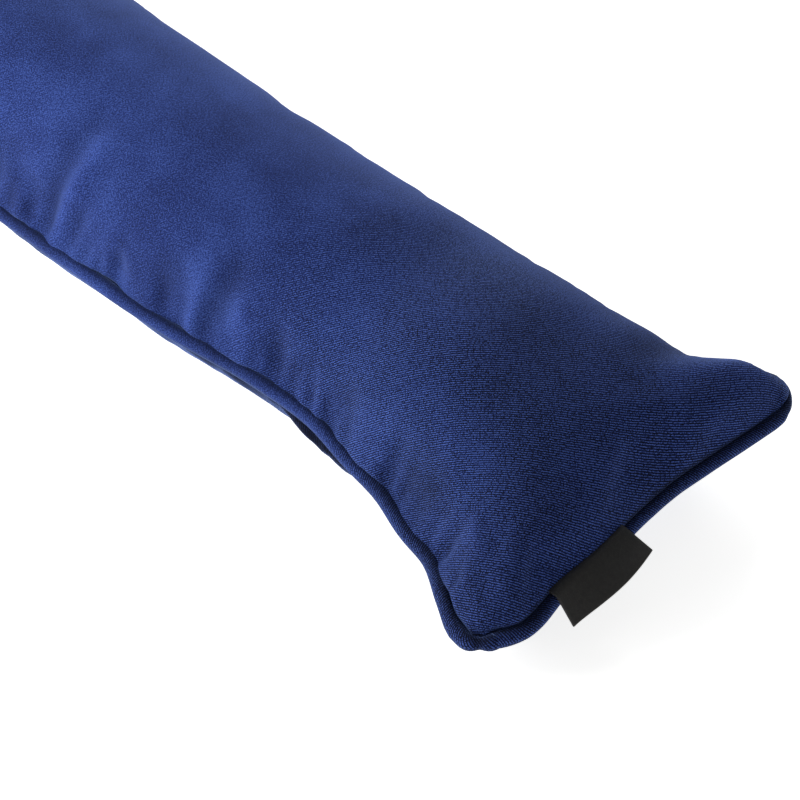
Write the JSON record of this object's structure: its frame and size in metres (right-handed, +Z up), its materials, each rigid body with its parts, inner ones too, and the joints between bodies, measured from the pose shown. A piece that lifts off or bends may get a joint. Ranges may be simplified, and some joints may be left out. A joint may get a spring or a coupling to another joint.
{
  "type": "draught excluder",
  "caption": "Long narrow filled velvet cushion with a piped edge and a folded fabric label, laid along the foot of a door to stop draughts.",
  "frame": {"origin": "middle of the bounding box's underside, on the surface that the cushion rests on", "axes": "+X along the length, towards the end with the label; +Z up"},
  "size_m": [0.8202, 0.176, 0.0758],
  "materials": {
    "velvet": "matt cut-pile velvet, navy blue",
    "woven_tape": "black woven tape with a slight sheen"
  },
  "bodies": {
    "root": {"cushion": "velvet", "piping": "velvet", "label": "woven_tape"}
  },
  "joints": []
}
